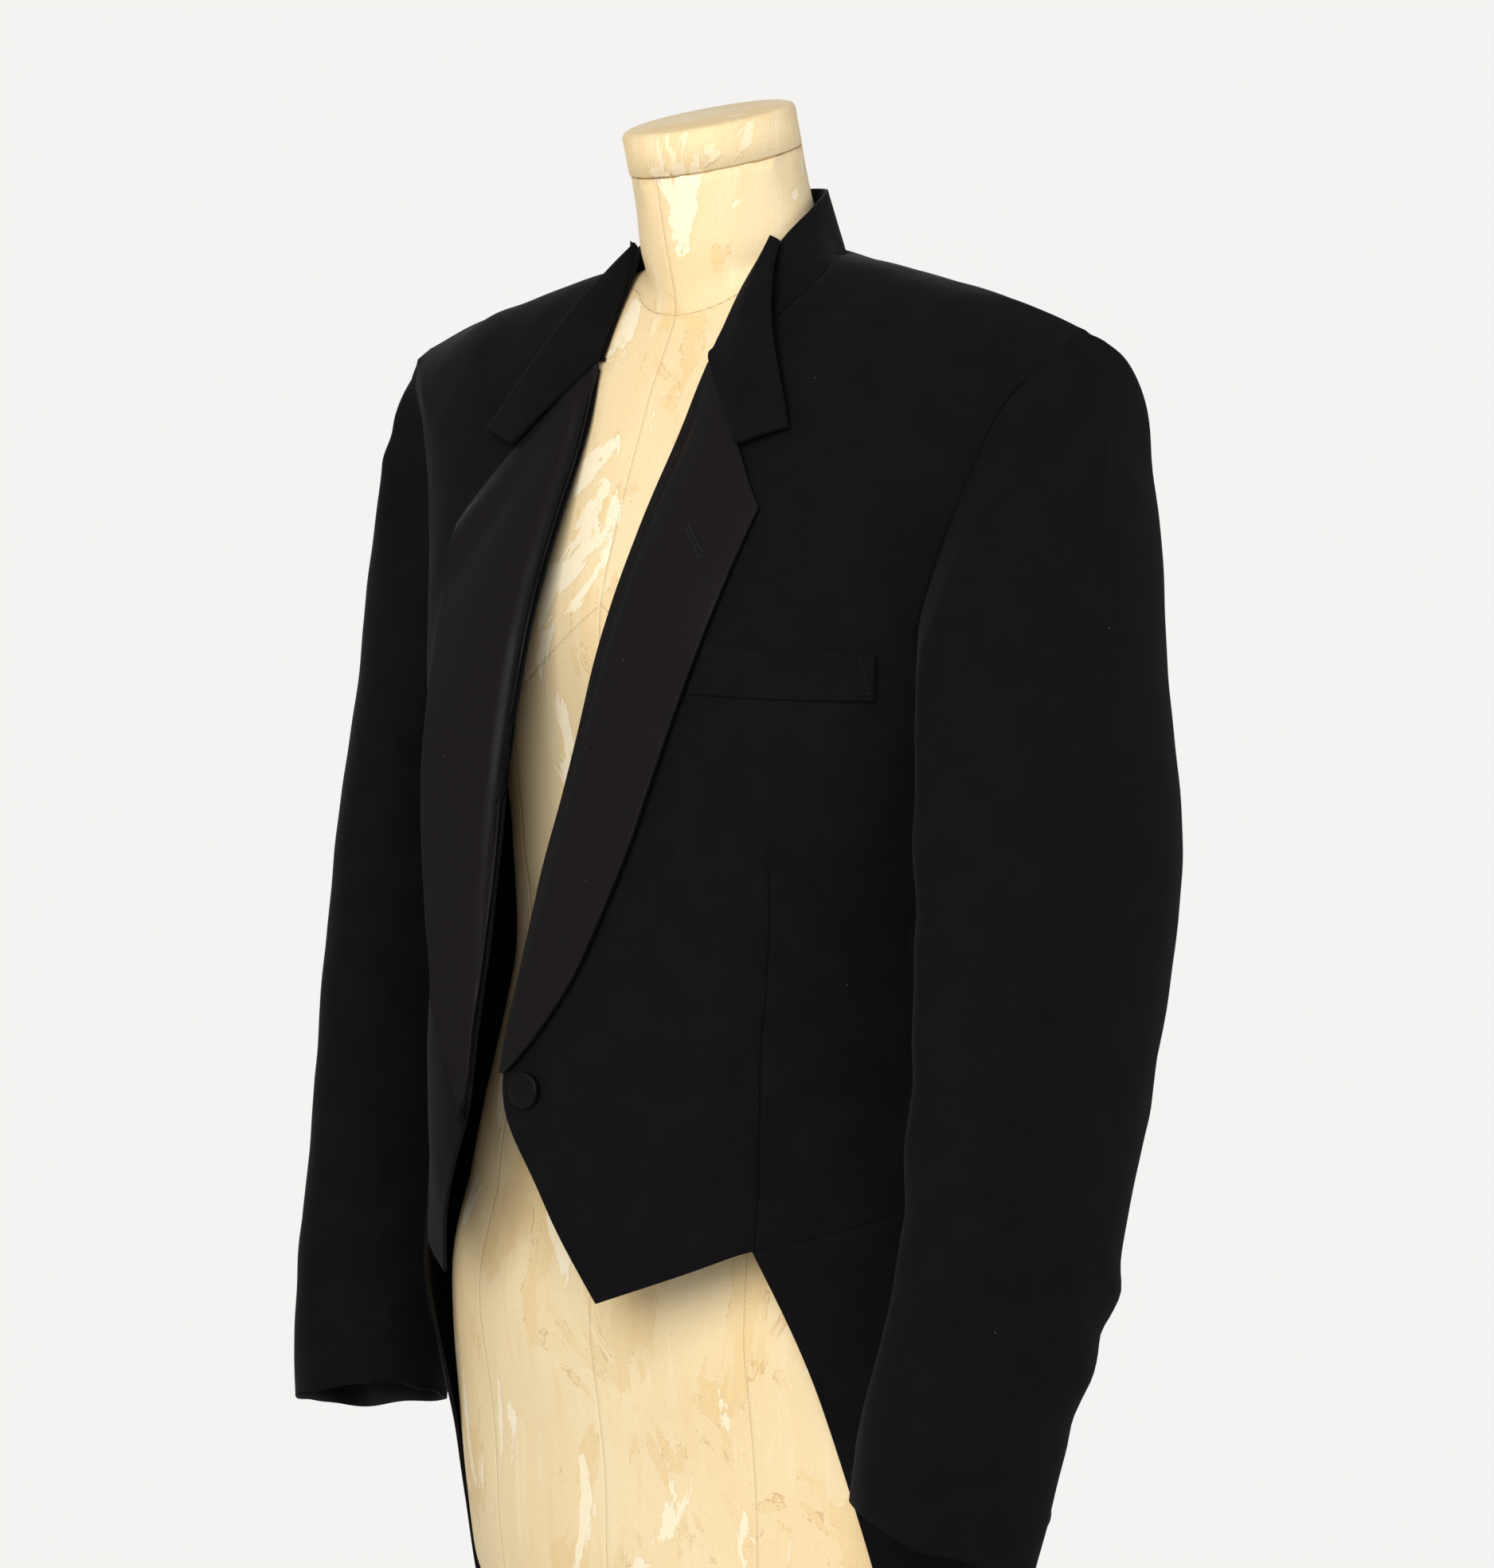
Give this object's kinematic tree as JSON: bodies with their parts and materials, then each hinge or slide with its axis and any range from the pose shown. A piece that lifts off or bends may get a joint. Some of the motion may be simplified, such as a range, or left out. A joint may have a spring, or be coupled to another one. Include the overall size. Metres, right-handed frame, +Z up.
{
  "type": "tailcoat on a dress form",
  "caption": "Open tailcoat with satin lapels and long tails, worn on a limbless dress form on a pole and round base.",
  "frame": {"origin": "centre of the round base's underside, on the floor", "axes": "+Z up; the coat's front faces -Y; the wearer's left is +X"},
  "size_m": [0.563, 0.3607, 1.5591],
  "materials": {
    "wool": "matte fine worsted",
    "satin": "soft satin",
    "aged_paper": "aged papered linen, matte",
    "cap_paper": "aged papered linen, matte",
    "pole_metal": "brushed",
    "base_iron": "satin black"
  },
  "bodies": {
    "root": {"forepart_left": "wool", "forepart_right": "wool", "side_body_left": "wool", "side_body_right": "wool", "back_left": "wool", "back_right": "wool", "tail_skirt_left": "wool", "tail_skirt_right": "wool", "top_sleeve_left": "wool", "top_sleeve_right": "wool", "under_sleeve_left": "wool", "under_sleeve_right": "wool", "collar_stand": "wool", "collar_leaf_left": "wool", "collar_leaf_right": "wool", "breast_welt": "wool", "lapel_left": "satin", "lapel_right": "satin", "front_button": "satin", "cuff_button_left": "satin", "cuff_button_right": "satin", "form_torso": "aged_paper", "form_neck_cap": "cap_paper", "stand_pole": "pole_metal", "stand_base": "base_iron"}
  },
  "joints": []
}
